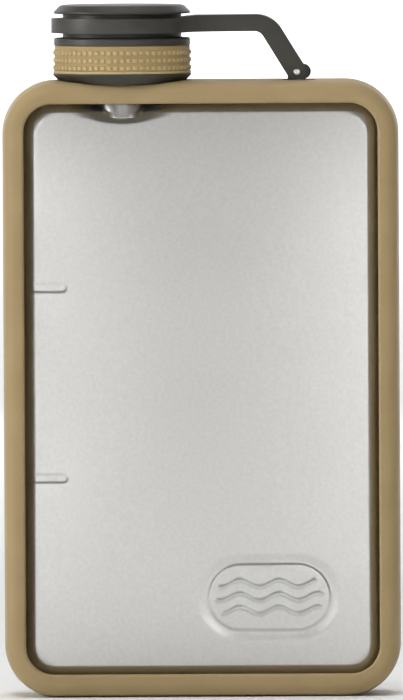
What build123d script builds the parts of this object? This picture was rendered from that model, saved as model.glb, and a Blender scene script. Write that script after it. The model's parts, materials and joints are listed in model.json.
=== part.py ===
from build123d import *
import math
import os

# Hip flask: a flat steel vessel in a rubber bumper frame, with a screw cap held captive by a
# hinged tether arm.  Millimetres.  +X to the right and +Z up when the front face (-Y) is seen,
# origin at the bottom centre, on the surface that the flask stands on.

# ---- driving dimensions -------------------------------------------------------------------
FRAME_HALF_WIDTH = 48.65        # bumper frame, outside, at the crest of its crown
FRAME_TOP = 151.2
FRAME_HALF_DEPTH = 14.3
FRAME_CORNER = 13.2
FRAME_CROWN_RADIUS = 118.0      # front-to-back crown of the outer surface
FRAME_EDGE = 2.8                # outer edge rounding
FOOT_HALF_DEPTH = 10.0          # flat strip under the frame that the flask stands on
SECTION_WIDTH = 7.5             # how far the swept section reaches inwards
RUBBER_WALL = 3.45              # rubber between the steel and the outside
OPENING_HALF_WIDTH = 42.9       # window in the frame that shows the steel
OPENING_LOW = 6.25
OPENING_HIGH = 144.95
OPENING_CORNER = 6.3
LIP_ROUND = 0.8

STEEL_HALF_DEPTH = 12.8
STEEL_WALL = 0.8
STEEL_EDGE = 5.0                # face-to-side radius of the drawn shells
GAP = 0.05                      # assembly gap between fixed pieces

CAP_X = -19.1                   # neck and cap axis
NECK_OUTER = 11.6
NECK_BORE = 10.8
NECK_LOW = 146.2
NECK_TOP = 163.0
NECK_BEAD = 11.9                # rolled bead at the mouth
NECK_BEAD_HEIGHT = 1.2
NECK_FLANGE = 13.5
NECK_FLANGE_THICK = 1.0
BOSS_RADIUS = 13.8              # bulge of the shells round the neck
BOSS_CENTRE_Z = 145.6

THREAD_PITCH = 3.0
THREAD_TURNS = 1.4
THREAD_ROOT_HALF = 1.0
THREAD_CREST_HALF = 0.45
NECK_THREAD_CREST = 12.4
NECK_THREAD_Z = 153.4
CAP_THREAD_CREST = 13.1
CAP_THREAD_Z = 152.5

CAP_LOW = 150.3                 # underside of the cap; cap heights below are above this
CAP_LOW_RADIUS = 14.85
CAP_SKIRT_RADIUS = 17.0
CAP_CHAMFER = 2.1
BAND_LOW = 2.4
BAND_HIGH = 9.4
BAND_SEAT_RADIUS = 15.4
BAND_RADIUS = 16.75
RIM_RADIUS = 16.75
RIM_HIGH = 11.2
RIM_BEVEL = 0.3
RIM_THICK = 1.0                 # web between the two steps of the cavity
CORE_RADIUS = 14.6
CORE_HIGH = 17.1
CAP_TOP_RADIUS = 16.8
CAP_TOP_EDGE = 17.5
CAP_TOP_CHAMFER_HIGH = 19.0
CAP_TOP_FLAT_RADIUS = 15.5
CAP_TOP_HIGH = 19.3
CAP_CAVITY_RADIUS = 13.9
CAP_UPPER_CAVITY_RADIUS = 13.0
CAP_CEILING = 14.2
SPIGOT_RADIUS = 11.0
SPIGOT_LOW = 15.4
SPIGOT_BASE = 15.6

GASKET_OUTER = 12.8
GASKET_INNER = 11.0
GASKET_THICK = 1.4

BUMP_COLUMNS = 66
BUMP_ROWS = (3.9, 5.75, 7.6)
BUMP_SIZE = 1.05
BUMP_RADIUS = 17.0

PIN_X = 23.7                    # hinge pin of the tether arm
PIN_Z = 153.0
PIN_RADIUS = 0.85
PIN_RUNNING_GAP = 0.05
PIN_CHAMFER = 0.15
KNUCKLE_RADIUS = 2.25           # round end of the tongue, about the pin
LOBE_RADIUS = 1.8               # rounded nose beside it
LOBE_OFFSET = 1.7
STEM_LEFT = 2.2                 # stem of the bracket, each side of the pin
STEM_RIGHT = 2.1
ARM_HALF_DEPTH = 6.0
CHEEK_INNER = 3.0               # inner face of each fork cheek
TONGUE_HALF_DEPTH = 2.8
FORK_CLEAR_RADIUS = 4.1         # the slot's round end, about the pin
LEG_HALF_WIDTH = 2.4
LEG_ANGLE = 58.4                # leg to the horizontal
ARM_UNDERSIDE = 10.0            # above the pin, at the bend
ARM_UPPERSIDE = 14.1
ARM_WEB_LENGTH = 6.0            # stretch in which the ring steps up to the arm
ARM_SLOPE = 0.7                 # degrees
ARM_INNER_BEND = 2.5
ARM_OUTER_BEND = 7.4
RING_LOW = 12.4                 # above the underside of the cap
RING_HIGH = 16.0
RING_INNER = 14.85
RING_OUTER = 17.4
RING_ARM_FILLET = 12.0

POCKET_RADIUS = 15.2            # seat of the cap in the top of the frame, at its floor
POCKET_FLOOR = 150.0
FORK_POCKET_LEFT = 3.4          # room in the frame for the fork, each side of the pin
FORK_POCKET_RIGHT = 4.5
FORK_POCKET_HALF_DEPTH = 6.5

SHOULDER_Z = FRAME_TOP - RUBBER_WALL
SHELL_BOTTOM = RUBBER_WALL
STEEL_HALF_WIDTH = FRAME_HALF_WIDTH - RUBBER_WALL
STEEL_CORNER = FRAME_CORNER - RUBBER_WALL

SHEET = 0.55                    # thickness of the anchor channel
FOOT_FLANGE_HALF = 5.0
FOOT_END_GAP = 0.3              # the foot stops short of the channel's ends
FOOT_FLANGE_THICK = 1.0
CHANNEL_HALF_LENGTH = 6.0
CHANNEL_LIP_INNER = 3.2


# ---- helpers ------------------------------------------------------------------------------
def tube(outer, inner, low, high):
    """Upright ring about the cap axis."""
    ring = Cylinder(outer, high - low, align=(Align.CENTER, Align.CENTER, Align.MIN))
    hole = Cylinder(inner, high - low, align=(Align.CENTER, Align.CENTER, Align.MIN))
    return Pos(CAP_X, 0, low) * (ring - hole)


def post(radius, low, high):
    """Upright cylinder about the cap axis."""
    return Pos(CAP_X, 0, low) * Cylinder(radius, high - low, align=(Align.CENTER, Align.CENTER, Align.MIN))


def box_between(low, high):
    """Box from its lowest to its highest corner."""
    size = [b - a for a, b in zip(low, high)]
    return Pos(*low) * Box(*size, align=(Align.MIN, Align.MIN, Align.MIN))


def turned(points):
    """Solid of revolution about the cap axis from (radius, height) points."""
    face = make_face(Plane.XZ * Polyline(*points, close=True))
    return Pos(CAP_X, 0, 0) * revolve(face, Axis.Z)


def window_prism(half_width, low, high, corner, half_depth):
    """Rounded rectangle in the XZ plane, extruded to both sides of it."""
    outline = Plane.XZ * Pos(0, (low + high) / 2) * RectangleRounded(2 * half_width, high - low, corner)
    return extrude(outline, half_depth, both=True)


def vessel_form(offset):
    """Solid of the vessel's outside, moved inwards (negative) or outwards by the offset."""
    prism = window_prism(STEEL_HALF_WIDTH + offset, SHELL_BOTTOM - offset, SHOULDER_Z + offset,
                         STEEL_CORNER + offset, STEEL_HALF_DEPTH + offset)
    faces = prism.faces().sort_by(Axis.Y)
    body = fillet(faces[0].edges() + faces[-1].edges(), STEEL_EDGE + offset)
    dome = Pos(CAP_X, 0, BOSS_CENTRE_Z) * Sphere(BOSS_RADIUS + offset)
    dome -= box_between((-60, -20, BOSS_CENTRE_Z), (60, 20, 170))
    return body + dome + post(BOSS_RADIUS + offset, BOSS_CENTRE_Z, SHOULDER_Z + offset)


def thread(root, crest, first_z):
    """Helical ridge between two radii, its middle starting at the given height."""
    turn_height = THREAD_PITCH * THREAD_TURNS
    path = Helix(THREAD_PITCH, turn_height, root)
    section = Plane(origin=(root, 0, 0), x_dir=(1, 0, 0), z_dir=(0, 1, 0))
    depth = crest - root
    outline = Polyline((0, -THREAD_ROOT_HALF), (depth, -THREAD_CREST_HALF),
                       (depth, THREAD_CREST_HALF), (0, THREAD_ROOT_HALF), close=True)
    ridge = sweep(section * make_face(outline), path, is_frenet=True)
    return Pos(CAP_X, 0, first_z) * ridge


# ---- vessel -------------------------------------------------------------------------------
def make_shells():
    """Front and back drawn shells, which meet in a welded seam at Y = 0."""
    wall = vessel_form(0.0) - vessel_form(-STEEL_WALL)
    wall -= post(NECK_OUTER, SHOULDER_Z - 5, SHOULDER_Z + 1)
    front = wall & box_between((-60, -20, -1), (60, 0, 170))
    back = wall & box_between((-60, 0, -1), (60, 20, 170))
    return front, back


def make_neck():
    """Neck tube with a flange on the shoulder, a rolled bead at the mouth and a screw thread."""
    neck = tube(NECK_OUTER, NECK_BORE, NECK_LOW, NECK_TOP)
    neck += tube(NECK_FLANGE, NECK_BORE, SHOULDER_Z, SHOULDER_Z + NECK_FLANGE_THICK)
    neck += tube(NECK_BEAD, NECK_BORE, NECK_TOP - NECK_BEAD_HEIGHT, NECK_TOP)
    neck += thread(NECK_OUTER - 0.15, NECK_THREAD_CREST, NECK_THREAD_Z)
    return neck


# ---- bumper frame -------------------------------------------------------------------------
def make_frame():
    """Rubber channel round the vessel's rim, with seats for the cap and for the hinge."""
    side_drop = FRAME_CROWN_RADIUS - math.sqrt(FRAME_CROWN_RADIUS ** 2 - FRAME_HALF_DEPTH ** 2)
    foot_cut = FRAME_CROWN_RADIUS - math.sqrt(FRAME_CROWN_RADIUS ** 2 - FOOT_HALF_DEPTH ** 2)
    depth = FRAME_HALF_DEPTH
    crown = ThreePointArc((-depth, side_drop), (0, 0), (depth, side_drop))
    sides = Polyline((depth, side_drop), (depth, SECTION_WIDTH), (-depth, SECTION_WIDTH),
                     (-depth, side_drop))
    outline = make_face([crown, sides])
    outer_corners = outline.vertices().sort_by(Axis.Y)[:2]
    outline = fillet(outer_corners, FRAME_EDGE)
    start = Plane(origin=(0, 0, -foot_cut), x_dir=(0, 1, 0), z_dir=(1, 0, 0))
    w = FRAME_HALF_WIDTH
    path = Plane.XZ * FilletPolyline((0, -foot_cut), (w, -foot_cut), (w, FRAME_TOP), (0, FRAME_TOP),
                                     radius=FRAME_CORNER)
    half = sweep(start * outline, path)
    ring = half + mirror(half, Plane.YZ)
    ring -= box_between((-60, -20, -5), (60, 20, 0))
    ring -= window_prism(OPENING_HALF_WIDTH, OPENING_LOW, OPENING_HIGH, OPENING_CORNER, 20)
    lip_edges = [e for e in ring.edges() if is_lip_edge(e)]
    ring = fillet(lip_edges, LIP_ROUND)
    ring -= vessel_form(GAP)
    ring -= cap_pocket()
    ring -= post(NECK_OUTER + 2 * GAP, SHOULDER_Z, FRAME_TOP + 5)
    ring -= post(NECK_FLANGE + GAP, SHOULDER_Z, SHOULDER_Z + NECK_FLANGE_THICK + GAP)
    ring -= hinge_pocket()
    return ring


def cap_pocket():
    """Shallow cone in the top of the frame, which follows the bevel under the cap."""
    bevel = (CAP_SKIRT_RADIUS - CAP_LOW_RADIUS) / CAP_CHAMFER
    depth = FRAME_TOP + 2 - POCKET_FLOOR
    outline = [(0, 0), (POCKET_RADIUS, 0), (POCKET_RADIUS + bevel * depth, depth), (0, depth)]
    return Pos(0, 0, POCKET_FLOOR) * turned(outline)


def is_lip_edge(edge):
    """An edge of the window on the flat front or back of the frame."""
    box = edge.bounding_box()
    flat = abs(abs(box.min.Y) - FRAME_HALF_DEPTH) < 0.01 and abs(box.max.Y - box.min.Y) < 0.01
    inside = max(abs(box.min.X), abs(box.max.X)) < OPENING_HALF_WIDTH + 0.1
    return flat and inside and box.min.Z > OPENING_LOW - 0.1 and box.max.Z < OPENING_HIGH + 0.1


def hinge_pocket():
    """Room in the frame for the anchor channel and, above it, for the fork and the tongue."""
    half = FOOT_FLANGE_HALF + SHEET + 3 * GAP
    length = CHANNEL_HALF_LENGTH + 2 * GAP
    top = channel_top() + GAP
    under = box_between((PIN_X - half, -length, SHOULDER_Z - 1), (PIN_X + half, length, top))
    above = box_between((PIN_X - FORK_POCKET_LEFT, -FORK_POCKET_HALF_DEPTH, top - 0.5),
                        (PIN_X + FORK_POCKET_RIGHT, FORK_POCKET_HALF_DEPTH, FRAME_TOP + 5))
    above = fillet(above.edges().filter_by(Axis.Z), 1.0)
    return under + above


# ---- hinge --------------------------------------------------------------------------------
def channel_top():
    """Height of the channel's lips."""
    return SHOULDER_Z + 2 * SHEET + FOOT_FLANGE_THICK + 2 * GAP


def make_anchor():
    """Steel channel welded to the shoulder, with lips that grip the foot of the bracket."""
    half = FOOT_FLANGE_HALF + GAP + SHEET
    length = CHANNEL_HALF_LENGTH
    channel = box_between((-half, -length, SHOULDER_Z), (half, length, channel_top()))
    inside_low = SHOULDER_Z + SHEET
    inside_high = channel_top() - SHEET
    channel -= box_between((-half + SHEET, -length, inside_low), (half - SHEET, length, inside_high))
    channel -= box_between((-CHANNEL_LIP_INNER, -length, inside_low),
                           (CHANNEL_LIP_INNER, length, channel_top() + 1))
    return Pos(PIN_X, 0, 0) * channel


def make_bracket():
    """Foot, stem and tongue: the fixed half of the hinge, drilled for the pin."""
    foot_low = SHOULDER_Z + SHEET + GAP
    foot = box_between((-FOOT_FLANGE_HALF, -CHANNEL_HALF_LENGTH + FOOT_END_GAP, foot_low),
                       (FOOT_FLANGE_HALF, CHANNEL_HALF_LENGTH - FOOT_END_GAP, foot_low + FOOT_FLANGE_THICK))
    stem = box_between((-STEM_LEFT, -TONGUE_HALF_DEPTH, foot_low), (STEM_RIGHT, TONGUE_HALF_DEPTH, PIN_Z))
    knuckle = Plane.XZ * Pos(0, PIN_Z) * Circle(KNUCKLE_RADIUS)
    lobe = Plane.XZ * Pos(LOBE_OFFSET, PIN_Z) * Circle(LOBE_RADIUS)
    tongue = extrude(knuckle + lobe, TONGUE_HALF_DEPTH, both=True)
    hole = extrude(Plane.XZ * Pos(0, PIN_Z) * Circle(PIN_RADIUS + PIN_RUNNING_GAP), 10, both=True)
    return Pos(PIN_X, 0, 0) * (foot + stem + tongue - hole)


def make_pin():
    """Steel pin pressed into the fork of the tether arm."""
    pin = extrude(Plane.XZ * Pos(PIN_X, PIN_Z) * Circle(PIN_RADIUS), ARM_HALF_DEPTH, both=True)
    return chamfer(pin.edges().filter_by(GeomType.CIRCLE), PIN_CHAMFER)


def make_arm():
    """Tether: a ring round the cap's core, an arm, and a forked leg down to the pin."""
    angle = math.radians(LEG_ANGLE)
    along = (-math.cos(angle), math.sin(angle))
    across = (math.sin(angle), math.cos(angle))

    def leg_point(side, height):
        """Point of the leg's left (-1) or right (+1) edge at a height above the pin."""
        reach = (height - side * LEG_HALF_WIDTH * across[1]) / along[1]
        return (PIN_X + side * LEG_HALF_WIDTH * across[0] + reach * along[0], PIN_Z + height)

    ring_low = CAP_LOW + RING_LOW
    ring_high = CAP_LOW + RING_HIGH
    ring_left = CAP_X - RING_OUTER - 1
    web_start = CAP_X + RING_OUTER + 0.5
    web_end = web_start + ARM_WEB_LENGTH
    rise = math.tan(math.radians(ARM_SLOPE)) * (leg_point(-1, ARM_UNDERSIDE)[0] - web_end)
    upper = [(ring_left, ring_high), (web_start, ring_high),
             (web_end, PIN_Z + ARM_UPPERSIDE - rise), leg_point(1, ARM_UPPERSIDE)]
    lower = [leg_point(-1, ARM_UNDERSIDE), (web_end, PIN_Z + ARM_UNDERSIDE - rise),
             (web_start, ring_low), (ring_left, ring_low)]
    reach = LEG_HALF_WIDTH * across[1]
    foot = [leg_point(1, reach), leg_point(-1, -reach)]
    side = make_face(Plane.XZ * Polyline(*upper, *foot, *lower, close=True))

    def corner(point):
        target = Vector(point[0], 0, point[1])
        return side.vertices().sort_by(lambda v: (Vector(v.X, v.Y, v.Z) - target).length)[0]

    side = fillet(corner(leg_point(1, ARM_UPPERSIDE)), ARM_OUTER_BEND)
    side = fillet(corner(leg_point(-1, ARM_UNDERSIDE)), ARM_INNER_BEND)
    side += Plane.XZ * Pos(PIN_X, PIN_Z) * Circle(LEG_HALF_WIDTH)
    profile = extrude(side, 30, both=True)

    strip_length = PIN_X - CAP_X + 10
    strip = Pos(CAP_X, 0) * Rectangle(strip_length, 2 * ARM_HALF_DEPTH, align=(Align.MIN, Align.CENTER))
    plan = Pos(CAP_X, 0) * Circle(RING_OUTER) + strip
    joints = [v for v in plan.vertices() if v.X < CAP_X + RING_OUTER]
    plan = fillet(joints, RING_ARM_FILLET)
    arm = profile & Pos(0, 0, CAP_LOW - 10) * extrude(plan, 60)
    arm -= post(RING_INNER, CAP_LOW, CAP_LOW + 30)

    slot = extrude(Plane.XZ * Pos(PIN_X, PIN_Z) * Circle(FORK_CLEAR_RADIUS), CHEEK_INNER, both=True)
    slot += box_between((PIN_X - 4, -CHEEK_INNER, PIN_Z - 6), (PIN_X + 4, CHEEK_INNER, PIN_Z))
    arm -= slot
    arm -= extrude(Plane.XZ * Pos(PIN_X, PIN_Z) * Circle(PIN_RADIUS), 30, both=True)
    return arm


# ---- cap ----------------------------------------------------------------------------------
def make_cap_shell():
    """Threaded cup with a seat for the grip band, a rim and a core that the ring runs round."""
    outside = [
        (0, 0), (CAP_LOW_RADIUS, 0), (CAP_SKIRT_RADIUS, CAP_CHAMFER), (CAP_SKIRT_RADIUS, BAND_LOW),
        (BAND_SEAT_RADIUS, BAND_LOW), (BAND_SEAT_RADIUS, BAND_HIGH), (RIM_RADIUS, BAND_HIGH),
        (RIM_RADIUS, RIM_HIGH - RIM_BEVEL), (RIM_RADIUS - RIM_BEVEL, RIM_HIGH), (CORE_RADIUS, RIM_HIGH),
        (CORE_RADIUS, CORE_HIGH), (0, CORE_HIGH),
    ]
    cup = Pos(0, 0, CAP_LOW) * turned(outside)
    cup -= post(CAP_CAVITY_RADIUS, CAP_LOW - 1, CAP_LOW + RIM_HIGH - RIM_THICK)
    cup -= post(CAP_UPPER_CAVITY_RADIUS, CAP_LOW, CAP_LOW + CAP_CEILING)
    cup -= post(SPIGOT_RADIUS + GAP, CAP_LOW + SPIGOT_LOW, CAP_LOW + 30)
    cup += thread(CAP_CAVITY_RADIUS + 0.15, CAP_THREAD_CREST, CAP_THREAD_Z)
    return cup


def make_cap_top():
    """Bevelled disc, with a spigot in the cup, that keeps the tether ring on the core."""
    outline = [
        (0, SPIGOT_BASE), (SPIGOT_RADIUS, SPIGOT_BASE), (SPIGOT_RADIUS, CORE_HIGH),
        (CAP_TOP_RADIUS, CORE_HIGH), (CAP_TOP_RADIUS, CAP_TOP_EDGE),
        (CAP_TOP_FLAT_RADIUS, CAP_TOP_CHAMFER_HIGH), (CAP_TOP_FLAT_RADIUS - 0.6, CAP_TOP_HIGH),
        (0, CAP_TOP_HIGH),
    ]
    return Pos(0, 0, CAP_LOW) * turned(outline)


def make_grip_band():
    """Moulded rubber sleeve with rows of small square bumps."""
    low = CAP_LOW + BAND_LOW
    high = CAP_LOW + BAND_HIGH
    sleeve = tube(BAND_RADIUS, BAND_SEAT_RADIUS + GAP, low + GAP, high - GAP)
    teeth = PolarLocations(0, BUMP_COLUMNS) * (Pos(BAND_RADIUS - 0.1, 0) * Rectangle(
        BUMP_RADIUS - BAND_RADIUS + 0.1, BUMP_SIZE, align=(Align.MIN, Align.CENTER)))
    outline = Circle(BAND_RADIUS - 0.05) + teeth - Circle(BAND_SEAT_RADIUS + 0.3)
    for height in BUMP_ROWS:
        row = extrude(outline, BUMP_SIZE)
        sleeve += Pos(CAP_X, 0, CAP_LOW + height - BUMP_SIZE / 2) * row
    return sleeve


def make_gasket():
    """Sealing ring between the cap's ceiling and the mouth of the neck."""
    top = CAP_LOW + CAP_CEILING - GAP
    return tube(GASKET_OUTER, GASKET_INNER, top - GASKET_THICK, top)


# ---- write the parts ----------------------------------------------------------------------
def build_all():
    front, back = make_shells()
    return {
        "front_shell": front,
        "back_shell": back,
        "neck": make_neck(),
        "bumper_frame": make_frame(),
        "anchor_channel": make_anchor(),
        "hinge_bracket": make_bracket(),
        "hinge_pin": make_pin(),
        "tether_arm": make_arm(),
        "cap_shell": make_cap_shell(),
        "cap_top": make_cap_top(),
        "grip_band": make_grip_band(),
        "cap_gasket": make_gasket(),
    }


os.makedirs("parts", exist_ok=True)
for name, piece in build_all().items():
    export_step(piece, f"parts/{name}.step")
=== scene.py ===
"""Looks of the hip flask: bead-blasted steel vessel, tan rubber bumper frame, dark plastic captive cap."""
import json
import math

import bmesh
import bpy
import numpy as np
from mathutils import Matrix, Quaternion, Vector

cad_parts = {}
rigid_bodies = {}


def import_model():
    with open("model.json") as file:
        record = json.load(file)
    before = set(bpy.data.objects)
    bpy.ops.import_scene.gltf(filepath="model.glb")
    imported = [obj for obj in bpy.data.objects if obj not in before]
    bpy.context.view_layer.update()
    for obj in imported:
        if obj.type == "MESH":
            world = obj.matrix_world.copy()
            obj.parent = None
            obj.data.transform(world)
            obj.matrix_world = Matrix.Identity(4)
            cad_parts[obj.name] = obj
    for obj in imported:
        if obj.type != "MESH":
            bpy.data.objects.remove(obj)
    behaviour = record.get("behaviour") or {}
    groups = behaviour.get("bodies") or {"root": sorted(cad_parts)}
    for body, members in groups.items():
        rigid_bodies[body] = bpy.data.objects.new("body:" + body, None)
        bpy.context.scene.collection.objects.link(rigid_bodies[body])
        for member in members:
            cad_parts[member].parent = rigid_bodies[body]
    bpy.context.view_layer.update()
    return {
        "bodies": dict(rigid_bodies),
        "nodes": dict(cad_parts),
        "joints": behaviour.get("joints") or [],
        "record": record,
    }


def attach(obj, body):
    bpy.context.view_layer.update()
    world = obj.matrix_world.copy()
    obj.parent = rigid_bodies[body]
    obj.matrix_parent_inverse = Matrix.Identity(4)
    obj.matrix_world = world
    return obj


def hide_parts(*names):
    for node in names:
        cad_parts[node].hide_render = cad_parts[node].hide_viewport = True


MM = 0.001

# ---- sizes, in millimetres, in the CAD model's frame --------------------------------------
FRAME_HALF_WIDTH = 48.65
FRAME_TOP = 151.2
FRAME_HALF_DEPTH = 14.3
FRAME_CORNER = 13.2
FRAME_CROWN_RADIUS = 118.0
FRAME_EDGE = 2.8
FOOT_CUT = 0.42                 # how far the foot strip cuts the crown off
RUBBER_WALL = 3.45
WINDOW_INSET = 5.75             # from the outside of the frame to its window
WINDOW_LOW = 6.25
WINDOW_HIGH = 144.95
WINDOW_CORNER = 6.3
LIP_ROUND = 0.8

STEEL_HALF_WIDTH = FRAME_HALF_WIDTH - RUBBER_WALL
STEEL_LOW = RUBBER_WALL
STEEL_HIGH = FRAME_TOP - RUBBER_WALL
STEEL_CORNER = FRAME_CORNER - RUBBER_WALL
STEEL_HALF_DEPTH = 12.3         # where the crowned face meets its rolled edge, 0.5 less than in CAD
STEEL_EDGE = 4.5                # 0.5 less than in CAD
STEEL_WALL = 0.8

CAP_X = -19.1
CAP_LOW = 150.3
NECK_BORE = 10.8
NECK_OUTER = 11.6
NECK_BEAD = 11.95
NECK_BEAD_LOW = 161.7
NECK_TOP = 163.0
NECK_FLANGE = 13.5
NECK_FLANGE_THICK = 1.0
NECK_HOLE_LOW = 146.4           # how far down the bore cuts the steel
THREAD_PITCH = 3.0
THREAD_TURNS = 1.4
PIN_X = 23.7
PIN_Z = 153.0


# ---- mesh helpers -------------------------------------------------------------------------
def piece_from(name, points, faces):
    """Mesh object from points in millimetres."""
    mesh = bpy.data.meshes.new(name)
    mesh.from_pydata([tuple(MM * c for c in p) for p in points], [], faces)
    return finished(name, mesh)


def finished(name, mesh, sharp=40):
    """Object with merged points and outward faces, smooth but for edges sharper than the angle."""
    form = bmesh.new()
    form.from_mesh(mesh)
    bmesh.ops.remove_doubles(form, verts=form.verts, dist=1e-6)
    bmesh.ops.dissolve_degenerate(form, edges=form.edges, dist=1e-7)
    bmesh.ops.recalc_face_normals(form, faces=form.faces)
    form.to_mesh(mesh)
    form.free()
    mesh.polygons.foreach_set("use_smooth", [True] * len(mesh.polygons))
    mesh.set_sharp_from_angle(angle=math.radians(sharp))
    obj = bpy.data.objects.new(name, mesh)
    bpy.context.scene.collection.objects.link(obj)
    return obj


def grid_faces(rows, columns, close_rows=False, close_columns=False):
    """Quads of a grid of points, row by row."""
    faces = []
    for i in range(rows if close_rows else rows - 1):
        for j in range(columns if close_columns else columns - 1):
            k = (i + 1) % rows
            m = (j + 1) % columns
            faces.append((i * columns + j, i * columns + m, k * columns + m, k * columns + j))
    return faces


def rounded(corners, closed=True, steps=6):
    """Outline through corners (a, b, radius), each rounded with an arc."""
    outline = []
    for i, (a, b, radius) in enumerate(corners):
        here = Vector((a, b))
        if radius == 0 or (not closed and i in (0, len(corners) - 1)):
            outline.append((a, b))
            continue
        before = (Vector(corners[i - 1][:2]) - here).normalized()
        after = (Vector(corners[(i + 1) % len(corners)][:2]) - here).normalized()
        half = before.angle(after) / 2
        centre = here + (before + after).normalized() * (radius / math.sin(half))
        start = here + before * (radius / math.tan(half)) - centre
        end = here + after * (radius / math.tan(half)) - centre
        turn = math.atan2(start.x * end.y - start.y * end.x, start.dot(end))
        for k in range(steps + 1):
            angle = turn * k / steps
            c, s = math.cos(angle), math.sin(angle)
            outline.append((centre.x + c * start.x - s * start.y, centre.y + s * start.x + c * start.y))
    return outline


def lathe(name, corners, closed=True, segments=192):
    """Solid of revolution about the cap axis from corners (radius, height, fillet)."""
    outline = rounded(corners, closed)
    points = []
    for radius, height in outline:
        for j in range(segments):
            angle = 2 * math.pi * j / segments
            points.append((CAP_X + radius * math.cos(angle), radius * math.sin(angle), height))
    return piece_from(name, points, grid_faces(len(outline), segments, closed, True))


def prism(name, outline, low, high, plane="XZ"):
    """Closed prism of an outline in the XZ plane (extruded along Y) or the XY plane (along Z)."""
    points = []
    for level in (low, high):
        for a, b in outline:
            points.append((a, level, b) if plane == "XZ" else (a, b, level))
    count = len(outline)
    faces = [tuple(range(count)), tuple(range(2 * count - 1, count - 1, -1))]
    faces += [(i, count + i, count + (i + 1) % count, (i + 1) % count) for i in range(count)]
    return piece_from(name, points, faces)


def circle(a, b, radius, count=96):
    """Points of a circle about (a, b)."""
    turns = [2 * math.pi * k / count for k in range(count)]
    return [(a + radius * math.cos(turn), b + radius * math.sin(turn)) for turn in turns]


def baked(obj, sharp=40):
    """Object whose modifiers are applied."""
    graph = bpy.context.evaluated_depsgraph_get()
    mesh = bpy.data.meshes.new_from_object(obj.evaluated_get(graph))
    name = obj.name
    old = obj.data
    bpy.data.objects.remove(obj)
    bpy.data.meshes.remove(old)
    mesh.name = name
    return finished(name, mesh, sharp)


def combine(obj, others, operation="DIFFERENCE"):
    """Boolean of an object with others, which are used up."""
    for other in others:
        change = obj.modifiers.new("cut", "BOOLEAN")
        change.operation = operation
        change.solver = "EXACT"
        change.object = other
        obj = baked(obj)
        mesh = other.data
        bpy.data.objects.remove(other)
        bpy.data.meshes.remove(mesh)
    return obj


def bevelled(obj, width, segments=3, angle=35):
    """Object with its sharp edges rounded."""
    change = obj.modifiers.new("edges", "BEVEL")
    change.width = width * MM
    change.segments = segments
    change.limit_method = "ANGLE"
    change.angle_limit = math.radians(angle)
    change.miter_outer = "MITER_ARC"
    change.use_clamp_overlap = True
    return baked(obj, 50)


def smooth_step(value):
    """0 below 0, 1 above 1 and smooth between, for an array."""
    t = np.clip(value, 0.0, 1.0)
    return t * t * (3 - 2 * t)


# ---- vessel -------------------------------------------------------------------------------
BADGE = (16.3, 24.5)            # centre of the embossed oval
BADGE_HALF_WIDTH = 15.3
BADGE_HALF_HEIGHT = 8.5
TICK_HEIGHTS = (53.8, 100.5)
TICK_END = -33.0
TICK_HALF = 1.0
DIP_CENTRE_Z = 152.5            # round the neck the face rolls off from a line that dips down
DIP_RADIUS = 12.0
DIP_STRETCH = 0.68              # the dip is wider than high by this ratio
CREASE_SLOPE = 0.44             # slope of the face just past the line where it rolls off
CREASE_ROUND = 0.18
SHOULDER_DEPTH = 12.3           # rounded shoulder of the neck inside the dip
SHOULDER_RADIUS = 6.2
SHOULDER_Z = 142.3
SHOULDER_LEAN = 0.16
SHOULDER_BLEND = 0.9            # width over which the shoulder runs into the face
FACE_CROWN = 1.9
PRESSED_MARGIN = 0.15           # more wall behind the face, so that no pressed detail cuts through
BADGE_FINE = (18.2, 11.3)       # half width and half height of the fine grid over the oval
TICK_FINE = 1.6                 # the same above and below each level mark


def stops(low, high, fine_ranges, coarse=1.1, fine=0.25, roll_steps=22):
    """Grid lines across the steel: an arc's spacing over each rolled edge, finer over details."""
    inner_low = low + STEEL_EDGE
    inner_high = high - STEEL_EDGE
    lines = [inner_low]
    while lines[-1] < inner_high - coarse:
        here = lines[-1]
        near = any(a - coarse <= here <= b for a, b in fine_ranges)
        lines.append(here + (fine if near else coarse))
    roll = [STEEL_EDGE * (k / roll_steps) ** 1.5 for k in range(1, roll_steps + 1)]
    return [inner_low - r for r in reversed(roll)] + lines + [inner_high] + [inner_high + r for r in roll]


def steel_inset(x, z):
    """Distance of a point inside the vessel's outline from it."""
    mid = (STEEL_LOW + STEEL_HIGH) / 2
    qx = np.abs(x) - (STEEL_HALF_WIDTH - STEEL_CORNER)
    qz = np.abs(z - mid) - ((STEEL_HIGH - STEEL_LOW) / 2 - STEEL_CORNER)
    outside = np.hypot(np.maximum(qx, 0), np.maximum(qz, 0))
    return STEEL_CORNER - outside - np.minimum(np.maximum(qx, qz), 0)


def into_corners(x, z):
    """Moves the grid of a rectangle into its rounded corners."""
    mid = (STEEL_LOW + STEEL_HIGH) / 2
    side = STEEL_HALF_WIDTH - STEEL_CORNER
    end = (STEEL_HIGH - STEEL_LOW) / 2 - STEEL_CORNER
    a = np.maximum(np.abs(x) - side, 0) / STEEL_CORNER
    b = np.maximum(np.abs(z - mid) - end, 0) / STEEL_CORNER
    new_a = a * np.sqrt(1 - b * b / 2)
    new_b = b * np.sqrt(1 - a * a / 2)
    new_x = np.sign(x) * (np.minimum(np.abs(x), side) + new_a * STEEL_CORNER)
    new_z = mid + np.sign(z - mid) * (np.minimum(np.abs(z - mid), end) + new_b * STEEL_CORNER)
    return new_x, new_z


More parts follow.
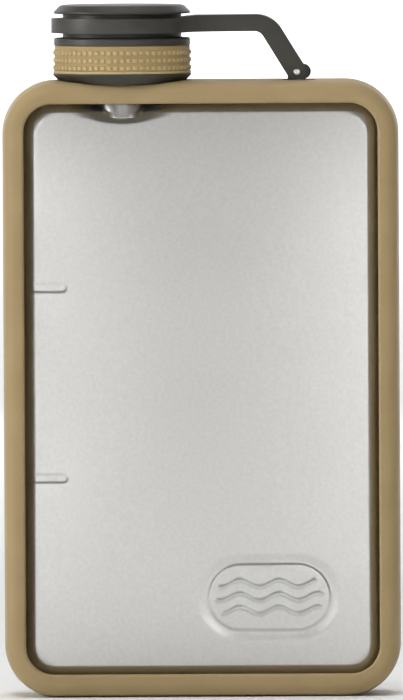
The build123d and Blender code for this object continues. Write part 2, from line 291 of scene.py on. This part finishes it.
def badge_relief(x, z):
    """Pressed oval with a soft surround, a crisp rim and three raised wave lines."""
    cx, cz = BADGE
    straight = BADGE_HALF_WIDTH - BADGE_HALF_HEIGHT
    inside = BADGE_HALF_HEIGHT - np.hypot(np.maximum(np.abs(x - cx) - straight, 0), z - cz)
    relief = -0.3 * smooth_step((inside + 2.6) / 2.6) + 0.22 * smooth_step(inside / 0.8)
    for k in (-1, 0, 1):
        wave = cz + 3.3 * k + 0.85 * np.sin(2 * math.pi * (x - cx) / 9.6)
        ridge = np.exp(-((z - wave) / 0.42) ** 2)
        relief = relief + 0.2 * ridge * smooth_step((inside - 1.7) / 0.8)
    return relief


def tick_relief(x, z):
    """Two shallow pressed level marks from the left edge, with a round end."""
    relief = 0 * x
    for height in TICK_HEIGHTS:
        across = np.hypot(np.maximum(x - (TICK_END - TICK_HALF), 0), z - height)
        relief = relief - 0.2 * smooth_step((TICK_HALF + 0.45 - across) / 0.9)
    return relief


def roll_off(past):
    """Drop of the surface at a distance past the line where it leaves the face."""
    crease = CREASE_SLOPE * (np.sqrt(past ** 2 + CREASE_ROUND ** 2) - CREASE_ROUND)
    return crease + past ** 2 * (1 - CREASE_SLOPE) / STEEL_EDGE


def neck_shoulder(x, z, depth):
    """Depth with the dip round the neck and the rounded shoulder inside it."""
    reach = np.hypot((x - CAP_X) * DIP_STRETCH, z - DIP_CENTRE_Z)
    depth = depth - roll_off(np.maximum(DIP_RADIUS - reach, 0))
    side = np.minimum(np.abs(x - CAP_X) / SHOULDER_RADIUS, 1)
    shoulder = SHOULDER_DEPTH - SHOULDER_RADIUS * (1 - np.sqrt(1 - side ** 2))
    shoulder = shoulder - SHOULDER_LEAN * np.maximum(z - SHOULDER_Z, 0) - 2 * np.maximum(SHOULDER_Z - z, 0)
    blend = np.maximum(SHOULDER_BLEND - np.abs(shoulder - depth), 0) ** 2 / (4 * SHOULDER_BLEND)
    return np.where(side < 1, np.maximum(depth, shoulder) + blend, depth)


def shell_depth(x, z):
    """Depth of the vessel's face without its badge and level marks."""
    inset = np.clip(steel_inset(x, z), 0, STEEL_EDGE)
    depth = STEEL_HALF_DEPTH - roll_off(STEEL_EDGE - inset)
    mid = (STEEL_LOW + STEEL_HIGH) / 2
    crown = (1 - (x / STEEL_HALF_WIDTH) ** 2) * (1 - ((z - mid) / (mid - STEEL_LOW)) ** 4)
    return neck_shoulder(x, z, depth + FACE_CROWN * np.maximum(crown, 0))


def make_shell(name, side, details):
    """One drawn half of the vessel; side is -1 for the front and +1 for the back."""
    fine_x = [(TICK_END - 1.5, TICK_END + 1.5), (CAP_X - 7, CAP_X + 7)]
    fine_z = [(DIP_CENTRE_Z - DIP_RADIUS - 0.5, STEEL_HIGH)]
    if details:
        fine_x.append((BADGE[0] - BADGE_FINE[0], BADGE[0] + BADGE_FINE[0]))
        fine_z.append((BADGE[1] - BADGE_FINE[1], BADGE[1] + BADGE_FINE[1]))
        fine_z += [(h - TICK_FINE, h + TICK_FINE) for h in TICK_HEIGHTS]
    across = stops(-STEEL_HALF_WIDTH, STEEL_HALF_WIDTH, fine_x)
    up = stops(STEEL_LOW, STEEL_HIGH, fine_z)
    x, z = np.meshgrid(np.array(across), np.array(up))
    x, z = into_corners(x, z)
    depth = shell_depth(x, z)
    if details:
        depth = depth + badge_relief(x, z) + tick_relief(x, z)
    mid = (STEEL_LOW + STEEL_HIGH) / 2
    x_in = x * (STEEL_HALF_WIDTH - STEEL_WALL) / STEEL_HALF_WIDTH
    z_in = mid + (z - mid) * (STEEL_HIGH - mid - STEEL_WALL) / (STEEL_HIGH - mid)
    depth_in = shell_depth(x_in, z_in) - STEEL_WALL - PRESSED_MARGIN
    rows, columns = x.shape
    rim = list(range(columns))
    rim += [i * columns + columns - 1 for i in range(1, rows)]
    rim += [(rows - 1) * columns + j for j in range(columns - 2, -1, -1)]
    rim += [i * columns for i in range(rows - 2, 0, -1)]
    points, faces, edges = [], [], []
    for a, b, c in ((x, depth, z), (x_in, depth_in, z_in)):
        first = len(points)
        sheet = np.stack([a, side * b, c], axis=-1).reshape(-1, 3).tolist()
        edge = first + len(sheet)
        points += sheet + [[sheet[k][0], 0.0, sheet[k][2]] for k in rim]
        faces += [tuple(first + k for k in face) for face in grid_faces(rows, columns)]
        lines = [(first + k, edge + i) for i, k in enumerate(rim)]
        edges.append([line[1] for line in lines])
        faces += [(*line, *reversed(after)) for line, after in zip(lines, lines[1:] + lines[:1])]
    rings = list(zip(*edges))
    faces += [(*ring, *reversed(after)) for ring, after in zip(rings, rings[1:] + rings[:1])]
    shell = piece_from(name, points, faces)
    hole = lathe("neck_hole", [(0, NECK_HOLE_LOW, 0), (NECK_BORE, NECK_HOLE_LOW, 0),
                               (NECK_BORE, 155, 0), (0, 155, 0)], True, 96)
    return combine(shell, [hole])


def thread(name, root, crest, first, per_turn=120):
    """Helical ridge with ends that run out into the wall."""
    total = int(per_turn * THREAD_TURNS)
    points = []
    for i in range(total + 1):
        share = i / total
        fade = min(1.0, share * THREAD_TURNS * 8, (1 - share) * THREAD_TURNS * 8)
        top = root + (crest - root) * math.sin(fade * math.pi / 2)
        angle = 2 * math.pi * THREAD_TURNS * share
        height = first + THREAD_PITCH * THREAD_TURNS * share
        for radius, rise in ((root, -1.0), (top, -0.5), (top, 0.5), (root, 1.0)):
            points.append((CAP_X + radius * math.cos(angle), radius * math.sin(angle), height + rise))
    faces = grid_faces(total + 1, 4, False, True)
    faces += [(0, 1, 2, 3), tuple(4 * total + k for k in (3, 2, 1, 0))]
    return piece_from(name, points, faces)


def make_neck():
    """Neck tube with its flange, a rolled bead and the screw thread."""
    low = STEEL_HIGH
    top = low + NECK_FLANGE_THICK
    body = lathe("neck_body", [
        (NECK_BORE, low, 0.2), (NECK_FLANGE, low, 0.2), (NECK_FLANGE, top, 0.3), (NECK_OUTER, top, 0.4),
        (NECK_OUTER, NECK_BEAD_LOW, 0.3), (NECK_BEAD, NECK_BEAD_LOW, 0.2), (NECK_BEAD, NECK_TOP, 0.45),
        (NECK_BORE, NECK_TOP, 0.35)])
    return combine(body, [thread("neck_thread", 11.3, 12.4, 153.4)], "UNION")


# ---- bumper frame -------------------------------------------------------------------------
def frame_loop(inset):
    """Loop of points round the frame, moved inwards from its outside by the inset."""
    lip = max(inset - RUBBER_WALL, 0.0) / (WINDOW_INSET - RUBBER_WALL)
    wall = min(inset, RUBBER_WALL)
    half = FRAME_HALF_WIDTH - inset
    low = -FOOT_CUT + wall * (RUBBER_WALL + FOOT_CUT) / RUBBER_WALL + lip * (WINDOW_LOW - RUBBER_WALL)
    high = FRAME_TOP - wall - lip * (STEEL_HIGH - WINDOW_HIGH)
    radius = FRAME_CORNER - wall - lip * (STEEL_CORNER - WINDOW_CORNER)
    corners = [(half, low, -90), (half, high, 0), (-half, high, 90), (-half, low, 180)]
    arcs = []
    for x, z, start in corners:
        cx = math.copysign(half - radius, x)
        cz = low + radius if z == low else high - radius
        arcs.append([(cx + radius * math.cos(math.radians(start + 90 * k / 20)),
                      cz + radius * math.sin(math.radians(start + 90 * k / 20))) for k in range(21)])
    loop = []
    for arc, following in zip(arcs, arcs[1:] + arcs[:1]):
        loop += arc
        (x0, z0), (x1, z1) = arc[-1], following[0]
        loop += [(x0 + (x1 - x0) * k / 24, z0 + (z1 - z0) * k / 24) for k in range(1, 24)]
    return loop


def frame_section():
    """Channel section as (inset, depth) points, from the middle of the crown and back to it."""
    def crown(depth):
        return FRAME_CROWN_RADIUS - math.sqrt(FRAME_CROWN_RADIUS ** 2 - depth ** 2)

    flat = FRAME_HALF_DEPTH
    corners = [(crown(d), d, 0) for d in (-3.0, -6.0, -9.0)]
    corners += [(crown(flat), -flat, FRAME_EDGE), (WINDOW_INSET, -flat, LIP_ROUND)]
    corners.append((WINDOW_INSET - 0.9, -12.3, 0))
    half = [(0.0, 0.0)] + rounded(corners, closed=False, steps=8)
    for d in (1.2, 0.8, 0.4, 0.0):
        depth = STEEL_HALF_DEPTH - float(roll_off(STEEL_EDGE - d)) + 0.3
        half.append((RUBBER_WALL + d - 0.05, -depth))
    return half + [(a, -b) for a, b in reversed(half[1:])]


def make_frame():
    """Rubber channel with the seat of the cap, the neck hole and the slot of the hinge."""
    section = frame_section()
    rows = []
    for inset, depth in section:
        rows += [(x, depth, max(z, 0.0)) for x, z in frame_loop(inset)]
    columns = len(rows) // len(section)
    frame = piece_from("frame_rubber", rows, grid_faces(len(section), columns, True, True))
    seat = lathe("seat", [(0, 150.15, 0), (15.2, 150.15, 0.3), (17.2, 152.05, 0),
                          (17.3, 157, 0), (0, 157, 0)], True, 128)
    hole = lathe("hole", [(0, 146, 0), (13.7, 146, 0), (13.7, 148.8, 0),
                          (11.75, 148.8, 0), (11.75, 152, 0), (0, 152, 0)], True, 96)
    slot_outline = rounded([(PIN_X - 3.4, -6.5, 1.0), (PIN_X + 4.5, -6.5, 1.0),
                            (PIN_X + 4.5, 6.5, 1.0), (PIN_X - 3.4, 6.5, 1.0)])
    slot = prism("slot", slot_outline, 147.0, 157.0, "XY")
    return combine(frame, [seat, hole, slot])


# ---- hinge and tether ---------------------------------------------------------------------
LEG_HALF_WIDTH = 2.4
LEG_ANGLE = 58.4
ARM_HALF_DEPTH = 6.0


def make_arm():
    """Ring, arm and forked leg, moulded in one with rounded edges."""
    angle = math.radians(LEG_ANGLE)
    along = Vector((-math.cos(angle), math.sin(angle)))
    across = Vector((math.sin(angle), math.cos(angle)))
    pin = Vector((PIN_X, PIN_Z))

    def leg_point(side, height):
        reach = (height - side * LEG_HALF_WIDTH * across.y) / along.y
        spot = pin + across * (side * LEG_HALF_WIDTH) + along * reach
        return spot.x, spot.y

    ring_low, ring_high = CAP_LOW + 12.4, CAP_LOW + 16.0
    web = CAP_X + 13.0
    outline = [(CAP_X - 18.4, ring_high, 0), (web, ring_high, 3.0), (web + 5, PIN_Z + 13.98, 3.0),
               (*leg_point(1, 14.1), 7.4)]
    start = math.degrees(math.atan2(across.y, across.x))
    foot = [(PIN_X + LEG_HALF_WIDTH * math.cos(math.radians(start - 9 * k)),
             PIN_Z + LEG_HALF_WIDTH * math.sin(math.radians(start - 9 * k)), 0) for k in range(21)]
    outline += foot
    outline += [(*leg_point(-1, 10.0), 2.5), (web + 5, PIN_Z + 9.88, 3.0), (web, ring_low, 3.0),
                (CAP_X - 18.4, ring_low, 0)]
    profile = prism("arm_profile", rounded(outline, True, 12), -30, 30)

    fillet, ring = 12.0, 17.4
    centre_y = ARM_HALF_DEPTH + fillet
    centre_x = CAP_X + math.sqrt((ring + fillet) ** 2 - centre_y ** 2)
    touch = math.atan2(centre_y, centre_x - CAP_X)
    upper = [(PIN_X + 10, ARM_HALF_DEPTH)]
    turn = math.pi / 2 - touch
    for k in range(17):
        a = -math.pi / 2 - turn * k / 16
        upper.append((centre_x + fillet * math.cos(a), centre_y + fillet * math.sin(a)))
    sweep = 2 * (math.pi - touch)
    around = [(CAP_X + ring * math.cos(touch + sweep * k / 160),
               ring * math.sin(touch + sweep * k / 160)) for k in range(1, 160)]
    plan = upper + around + [(x, -y) for x, y in reversed(upper)]
    arm = combine(profile, [prism("arm_plan", plan, 140, 175, "XY")], "INTERSECT")

    bore = lathe("ring_bore", [(0, 150, 0), (14.85, 150, 0), (14.85, 175, 0), (0, 175, 0)], True, 160)
    fork = prism("fork", circle(PIN_X, PIN_Z, 4.1), -3.0, 3.0)
    below = prism("below", [(PIN_X - 4, PIN_Z - 6), (PIN_X + 4, PIN_Z - 6), (PIN_X + 4, PIN_Z),
                            (PIN_X - 4, PIN_Z)], -3.0, 3.0)
    eye = prism("eye", circle(PIN_X, PIN_Z, 0.86, 48), -9, 9)
    arm = combine(arm, [bore, fork, below, eye])
    arm.name = "tether"
    return bevelled(arm, 0.45, 3)


def make_bracket():
    """Fixed tongue with its lobe, over the foot in the anchor channel."""
    foot = prism("bracket_foot", [(PIN_X - 5, 148.35), (PIN_X + 5, 148.35), (PIN_X + 5, 149.35),
                                  (PIN_X - 5, 149.35)], -5.7, 5.7)
    stem = prism("stem", [(PIN_X - 2.2, 148.4), (PIN_X + 2.1, 148.4), (PIN_X + 2.1, PIN_Z),
                          (PIN_X - 2.2, PIN_Z)], -2.8, 2.8)
    knuckle = prism("knuckle", circle(PIN_X, PIN_Z, 2.25), -2.8, 2.8)
    lobe = prism("lobe", circle(PIN_X + 1.7, PIN_Z, 1.8), -2.8, 2.8)
    eye = prism("eye", circle(PIN_X, PIN_Z, 0.9, 48), -9, 9)
    bracket = combine(foot, [stem, knuckle, lobe], "UNION")
    bracket = combine(bracket, [eye])
    bracket.name = "bracket"
    return bevelled(bracket, 0.25, 2)


def make_pin():
    """Bright pin with softly domed ends."""
    length = ARM_HALF_DEPTH
    outline = rounded([(0, -length, 0), (0.85, -length + 0.06, 0.22), (0.85, length - 0.06, 0.22),
                       (0, length, 0)], False, 6)
    count = 48
    turns = [2 * math.pi * j / count for j in range(count)]
    points = [(PIN_X + r * math.cos(turn), y, PIN_Z + r * math.sin(turn))
              for r, y in outline for turn in turns]
    return piece_from("pin", points, grid_faces(len(outline), count, False, True))


# ---- cap ----------------------------------------------------------------------------------
def make_cup():
    """Threaded cup with its bevelled skirt, the seat of the grip band, rim and core."""
    low = CAP_LOW
    cup = lathe("cap_cup", [
        (13.9, low, 0.3), (14.85, low, 0.3), (17.0, low + 2.1, 0.5), (17.0, low + 2.4, 0.1),
        (15.4, low + 2.4, 0.1), (15.4, low + 9.4, 0.1), (16.75, low + 9.4, 0.15),
        (16.75, low + 11.2, 0.45), (14.6, low + 11.2, 0.3), (14.6, low + 17.1, 0.2),
        (11.05, low + 17.1, 0.1), (11.05, low + 15.4, 0.1), (0, low + 15.4, 0), (0, low + 14.2, 0),
        (13.0, low + 14.2, 0.2), (13.0, low + 10.2, 0.2), (13.9, low + 10.2, 0.2)])
    return combine(cup, [thread("cup_thread", 14.1, 13.1, 152.5)], "UNION")


def make_lid():
    """Bevelled top disc."""
    low = CAP_LOW
    return lathe("cap_lid", [
        (0, low + 15.6, 0), (11.0, low + 15.6, 0.2), (11.0, low + 17.1, 0.1), (16.8, low + 17.1, 0.25),
        (16.8, low + 17.6, 0.35), (15.4, low + 19.0, 0.6), (14.6, low + 19.3, 0.9), (0, low + 19.3, 0)],
        False)


BUMP_COLUMNS = 66
BUMP_ROWS = (3.9, 5.75, 7.6)
BUMP_HALF = 0.52
BUMP_CORNER = 0.2


def make_grip():
    """Rubber sleeve with rows of small rounded square bumps, as one closed surface."""
    low, high = CAP_LOW + 2.45, CAP_LOW + 9.35
    inner, outer, proud = 15.45, 16.62, 0.34
    around = BUMP_COLUMNS * 14
    up = 90
    angle = np.arange(around) * 2 * math.pi / around
    height = low + 0.2 + (high - low - 0.4) * np.arange(up + 1) / up
    turn, level = np.meshgrid(angle, height)
    pitch = 2 * math.pi / BUMP_COLUMNS
    across = (np.abs((turn / pitch) % 1.0 - 0.5)) * pitch * outer
    past_side = np.maximum(across - BUMP_HALF + BUMP_CORNER, 0)
    bump = 0 * turn
    for row in BUMP_ROWS:
        up_from = np.abs(level - CAP_LOW - row)
        reach = np.hypot(past_side, np.maximum(up_from - BUMP_HALF + BUMP_CORNER, 0))
        bump = np.maximum(bump, smooth_step((BUMP_CORNER + 0.08 - reach) / 0.22))
    ledge = smooth_step((low + 0.75 - level) / 0.15)
    radius = outer + np.maximum(proud * bump, 0.3 * ledge)
    x = CAP_X + radius * np.cos(turn)
    y = radius * np.sin(turn)
    points = np.stack([x, y, level], axis=-1).reshape(-1, 3).tolist()
    rims = [(outer - 0.06, high - 0.06), (outer - 0.2, high), (inner, high), (inner, low),
            (outer, low), (outer + 0.24, low + 0.06)]
    for r, z in rims:
        points += [[CAP_X + r * math.cos(a), r * math.sin(a), z] for a in angle]
    return piece_from("grip", points, grid_faces(up + 1 + len(rims), around, True, True))


# ---- materials ----------------------------------------------------------------------------
def material(name, color, roughness, metallic=0.0, specular=0.5):
    """Principled material; returns it with its shader and its node tree."""
    made = bpy.data.materials.new(name)
    made.use_nodes = True
    tree = made.node_tree
    shader = tree.nodes["Principled BSDF"]
    shader.inputs["Base Color"].default_value = (*color, 1)
    shader.inputs["Roughness"].default_value = roughness
    shader.inputs["Metallic"].default_value = metallic
    shader.inputs["Specular IOR Level"].default_value = specular
    return made, shader, tree


def coordinates(tree):
    """Place on the object, in metres."""
    return tree.nodes.new("ShaderNodeTexCoord").outputs["Object"]


def noise(tree, place, scale, detail=3.0, roughness=0.5):
    """Fractal noise about 0.5."""
    node = tree.nodes.new("ShaderNodeTexNoise")
    node.inputs["Scale"].default_value = scale
    node.inputs["Detail"].default_value = detail
    node.inputs["Roughness"].default_value = roughness
    tree.links.new(place, node.inputs["Vector"])
    return node.outputs["Fac"]


def ranged(tree, value, low, high, start=0.3, end=0.7):
    """Value from start to end, stretched to run from low to high."""
    node = tree.nodes.new("ShaderNodeMapRange")
    node.inputs["From Min"].default_value = start
    node.inputs["From Max"].default_value = end
    node.inputs["To Min"].default_value = low
    node.inputs["To Max"].default_value = high
    tree.links.new(value, node.inputs["Value"])
    return node.outputs["Result"]


def tinted(tree, value, first, second):
    """Colour between two, by a value from 0 to 1."""
    node = tree.nodes.new("ShaderNodeMix")
    node.data_type = "RGBA"
    node.inputs["A"].default_value = (*first, 1)
    node.inputs["B"].default_value = (*second, 1)
    tree.links.new(value, node.inputs["Factor"])
    return node.outputs["Result"]


def bumped(tree, shader, layers):
    """Bump from (height, strength, distance in millimetres) layers, one on the other."""
    normal = None
    for height, strength, distance in layers:
        node = tree.nodes.new("ShaderNodeBump")
        node.inputs["Strength"].default_value = strength
        node.inputs["Distance"].default_value = distance * MM
        tree.links.new(height, node.inputs["Height"])
        if normal:
            tree.links.new(normal, node.inputs["Normal"])
        normal = node.outputs["Normal"]
    tree.links.new(normal, shader.inputs["Normal"])


def steel_material():
    """Bead-blasted stainless: fine pitting, a faint orange peel and small changes of gloss."""
    made, shader, tree = material("blasted_steel", (0.63, 0.62, 0.6), 0.28, metallic=1.0)
    place = coordinates(tree)
    fine = noise(tree, place, 1200, 2.0)
    peel = noise(tree, place, 420, 2.0)
    cloud = noise(tree, place, 38, 3.0)
    tree.links.new(ranged(tree, cloud, 0.285, 0.335), shader.inputs["Roughness"])
    color = tinted(tree, ranged(tree, fine, 0, 1), (0.575, 0.57, 0.55), (0.62, 0.615, 0.595))
    tree.links.new(color, shader.inputs["Base Color"])
    bumped(tree, shader, [(peel, 0.2, 0.02), (fine, 0.22, 0.009)])
    return made


def rubber_material(name, dark, light):
    """Matte moulded rubber: fine spark-eroded grain and faint blotches."""
    made, shader, tree = material(name, light, 0.62, specular=0.35)
    place = coordinates(tree)
    grain = noise(tree, place, 3200, 2.0)
    blotch = noise(tree, place, 90, 4.0)
    tree.links.new(tinted(tree, ranged(tree, blotch, 0, 1), dark, light), shader.inputs["Base Color"])
    tree.links.new(ranged(tree, blotch, 0.55, 0.68), shader.inputs["Roughness"])
    bumped(tree, shader, [(grain, 0.35, 0.02)])
    return made


def grip_material():
    """Rubber of the grip band, a little darker between its bumps: painted shade in the grooves and a painted
    highlight on the bump tops.
    """
    made = rubber_material("grip_rubber", (0.34, 0.245, 0.105), (0.4, 0.295, 0.135))
    tree = made.node_tree
    shader = tree.nodes["Principled BSDF"]
    offset = tree.nodes.new("ShaderNodeVectorMath")
    offset.operation = "SUBTRACT"
    offset.inputs[1].default_value = (CAP_X * MM, 0, 0)
    tree.links.new(coordinates(tree), offset.inputs[0])
    flat = tree.nodes.new("ShaderNodeVectorMath")
    flat.operation = "MULTIPLY"
    flat.inputs[1].default_value = (1, 1, 0)
    tree.links.new(offset.outputs["Vector"], flat.inputs[0])
    reach = tree.nodes.new("ShaderNodeVectorMath")
    reach.operation = "LENGTH"
    tree.links.new(flat.outputs["Vector"], reach.inputs[0])
    # Painted highlight and shade: the colour lightens with the distance from the cap's axis, so the bump tops
    # come out lighter than the grooves between them.
    proud = ranged(tree, reach.outputs["Value"], 0, 1, 16.63 * MM, 16.93 * MM)
    old = shader.inputs["Base Color"].links[0].from_socket
    light = tree.nodes.new("ShaderNodeMix")
    light.data_type = "RGBA"
    light.inputs["B"].default_value = (0.49, 0.37, 0.185, 1)
    tree.links.new(proud, light.inputs["Factor"])
    tree.links.new(old, light.inputs["A"])
    tree.links.new(light.outputs["Result"], shader.inputs["Base Color"])
    return made


def plastic_material():
    """Dark olive-grey moulded plastic with an eroded texture."""
    made, shader, tree = material("dark_plastic", (0.045, 0.042, 0.033), 0.48, specular=0.5)
    place = coordinates(tree)
    grain = noise(tree, place, 2800, 3.0)
    cloud = noise(tree, place, 120, 3.0)
    color = tinted(tree, ranged(tree, cloud, 0, 1), (0.035, 0.033, 0.026), (0.046, 0.043, 0.034))
    tree.links.new(color, shader.inputs["Base Color"])
    tree.links.new(ranged(tree, cloud, 0.43, 0.53), shader.inputs["Roughness"])
    bumped(tree, shader, [(grain, 0.4, 0.02)])
    return made


def coated_material():
    """Steel under a dull dark coat, for the channel down in the hinge's slot."""
    made, shader, tree = material("coated_steel", (0.045, 0.043, 0.037), 0.52)
    grain = noise(tree, coordinates(tree), 900, 2.0)
    color = tinted(tree, ranged(tree, grain, 0, 1), (0.038, 0.036, 0.030), (0.052, 0.049, 0.042))
    tree.links.new(color, shader.inputs["Base Color"])
    tree.links.new(ranged(tree, grain, 0.46, 0.58), shader.inputs["Roughness"])
    return made


def turned_material():
    """Bright steel of the hinge pin."""
    made, shader, tree = material("turned_steel", (0.78, 0.77, 0.75), 0.28, metallic=1.0)
    grain = noise(tree, coordinates(tree), 1500, 2.0)
    tree.links.new(ranged(tree, grain, 0.24, 0.34), shader.inputs["Roughness"])
    bumped(tree, shader, [(grain, 0.1, 0.01)])
    return made


def seal_material():
    """Milky silicone."""
    made, shader, tree = material("silicone", (0.72, 0.72, 0.69), 0.4, specular=0.4)
    cloud = noise(tree, coordinates(tree), 200, 2.0)
    tree.links.new(ranged(tree, cloud, 0.36, 0.46), shader.inputs["Roughness"])
    bumped(tree, shader, [(cloud, 0.1, 0.02)])
    return made


def wear(piece, made):
    """Gives a piece its material."""
    piece.data.materials.clear()
    piece.data.materials.append(made)


# ---- stage, in metres ---------------------------------------------------------------------
FLOOR_RADIUS = 11.0
FLOOR_WALL_TOP = 12.0
MIDDLE = (0.0, 0.0, 0.085)      # middle of the flask


def make_floor():
    """Pale round floor that sweeps up into a wall far away, all round."""
    outline = rounded([(0.0, 0.0, 0), (FLOOR_RADIUS, 0.0, 3.0), (FLOOR_RADIUS, FLOOR_WALL_TOP, 0)], False, 12)
    count = 96
    turns = [2 * math.pi * j / count for j in range(count)]
    points = [(1000 * r * math.cos(turn), 1000 * r * math.sin(turn), 1000 * z)
              for r, z in outline for turn in turns]
    floor = piece_from("floor", points, grid_faces(len(outline), count, False, True))
    made, shader, _ = material("pale_floor", (0.86, 0.86, 0.86), 0.9, specular=0.1)
    floor.data.materials.append(made)


def area_light(name, place, target, size, radiance):
    """Soft box of a size in metres that looks at a target; its power follows from its radiance."""
    data = bpy.data.lights.new(name, "AREA")
    data.shape = "RECTANGLE"
    data.size, data.size_y = size
    data.energy = radiance * math.pi * size[0] * size[1]
    light = bpy.data.objects.new(name, data)
    bpy.context.scene.collection.objects.link(light)
    light.location = place
    light.rotation_euler = (Vector(target) - Vector(place)).to_track_quat("-Z", "Y").to_euler()
    light.visible_camera = False
    return light


def panel(name, azimuth, elevation, distance, size, radiance):
    """Soft box seen from the flask's middle at an azimuth from -Y towards +X and an elevation."""
    turn, lift = math.radians(azimuth), math.radians(elevation)
    place = Vector(MIDDLE) + distance * Vector((math.sin(turn) * math.cos(lift),
                                                -math.cos(turn) * math.cos(lift), math.sin(lift)))
    return area_light(name, place, MIDDLE, size, radiance)


def make_lights():
    """Two strips in front and two behind, one at the left, one overhead, and washes for the stage.

    Those close above the flask aren't seen in its gloss, because they would draw a bright line on the steel.
    """
    world = bpy.data.worlds.new("studio")
    bpy.context.scene.world = world
    world.use_nodes = True
    background = world.node_tree.nodes["Background"]
    background.inputs["Color"].default_value = (1, 1, 1, 1)
    background.inputs["Strength"].default_value = 0.07
    for name, turn in (("front", 0), ("back", 180)):
        panel(name + "_left", turn - 13, 3, 1.6, (0.22, 0.55), 3.4)
        panel(name + "_right", turn + 13, 3, 1.6, (0.22, 0.55), 3.4)
    panel("side_strip", -72, 12, 1.2, (0.25, 0.9), 11.0)
    for side in (-1, 1):
        across = 0.22 * side
        floor_wash = area_light("floor_wash", (across, -0.7, 1.3), (across, -0.701, 0), (0.4, 0.8), 1.8)
        floor_wash.data.spread = math.radians(70)
        floor_wash.visible_glossy = False
    top_front = area_light("top_front", (0, -0.3, 0.42), (0, 0, 0.13), (0.5, 0.15), 1.6)
    top_front.visible_glossy = False
    back_floor = area_light("back_floor", (0, 2.7, 2.4), (0, 2.701, 0), (5.0, 5.0), 0.5)
    back_floor.data.spread = math.radians(60)
    area_light("far_wash", (0, 7.0, 4.8), (0, 9.5, 0.5), (12.0, 4.0), 4.5)
    area_light("near_wash", (0, -7.5, 4.8), (0, -9.5, 0.5), (10.0, 4.0), 0.1)
    area_light("overhead", (0, 1.2, 3.0), MIDDLE, (1.5, 1.0), 2.0)


CAMERA_DISTANCE = 4.0
CAMERA_ELEVATION = 2.3
CAMERA_ROLL = -0.3
VIEW_WIDTH = 0.0990             # what the image's width spans at the object, in metres
IMAGE_SIZE = (403, 700)
CAMERA_TARGET = (0.0, 0.0, 0.0846)


def make_camera():
    """Long lens, a little above the middle of the flask."""
    data = bpy.data.cameras.new("camera")
    data.sensor_width = 36.0
    data.lens = data.sensor_width * CAMERA_DISTANCE / (VIEW_WIDTH * IMAGE_SIZE[1] / IMAGE_SIZE[0])
    data.clip_end = 100
    camera = bpy.data.objects.new("camera", data)
    bpy.context.scene.collection.objects.link(camera)
    lift = math.radians(CAMERA_ELEVATION)
    back = Vector((0, -math.cos(lift), math.sin(lift)))
    camera.location = Vector(CAMERA_TARGET) + back * CAMERA_DISTANCE
    level = (-back).to_track_quat("-Z", "Y")
    roll = Quaternion((0, 0, 1), math.radians(CAMERA_ROLL))
    camera.rotation_euler = (level @ roll).to_euler()
    bpy.context.scene.camera = camera


# ---- build --------------------------------------------------------------------------------
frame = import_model()

steel = steel_material()
frame_rubber = rubber_material("frame_rubber", (0.34, 0.247, 0.118), (0.375, 0.277, 0.137))
grip_rubber = grip_material()
plastic = plastic_material()

MADE = [
    # piece, body, CAD node, material, slot
    (make_shell("steel_front", -1, True), "flask", "front_shell", steel, "steel"),
    (make_shell("steel_back", 1, False), "flask", "back_shell", steel, "steel"),
    (make_neck(), "flask", "neck", steel, "steel"),
    (make_frame(), "flask", "bumper_frame", frame_rubber, "frame_rubber"),
    (make_bracket(), "flask", "hinge_bracket", plastic, "cap_plastic"),
    (make_arm(), "tether", "tether_arm", plastic, "cap_plastic"),
    (make_pin(), "tether", "hinge_pin", turned_material(), "pin_steel"),
    (make_cup(), "cap", "cap_shell", plastic, "cap_plastic"),
    (make_lid(), "cap", "cap_top", plastic, "cap_plastic"),
    (make_grip(), "cap", "grip_band", grip_rubber, "grip_rubber"),
]
for made_piece, body, node, look, slot_name in MADE:
    wear(made_piece, look)
    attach(made_piece, body)
    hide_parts(node)
for node, look in (("anchor_channel", coated_material()), ("cap_gasket", seal_material())):
    frame["nodes"][node].data.materials.clear()
    frame["nodes"][node].data.materials.append(look)

make_floor()
make_lights()
make_camera()
bpy.context.scene.view_settings.view_transform = "Standard"
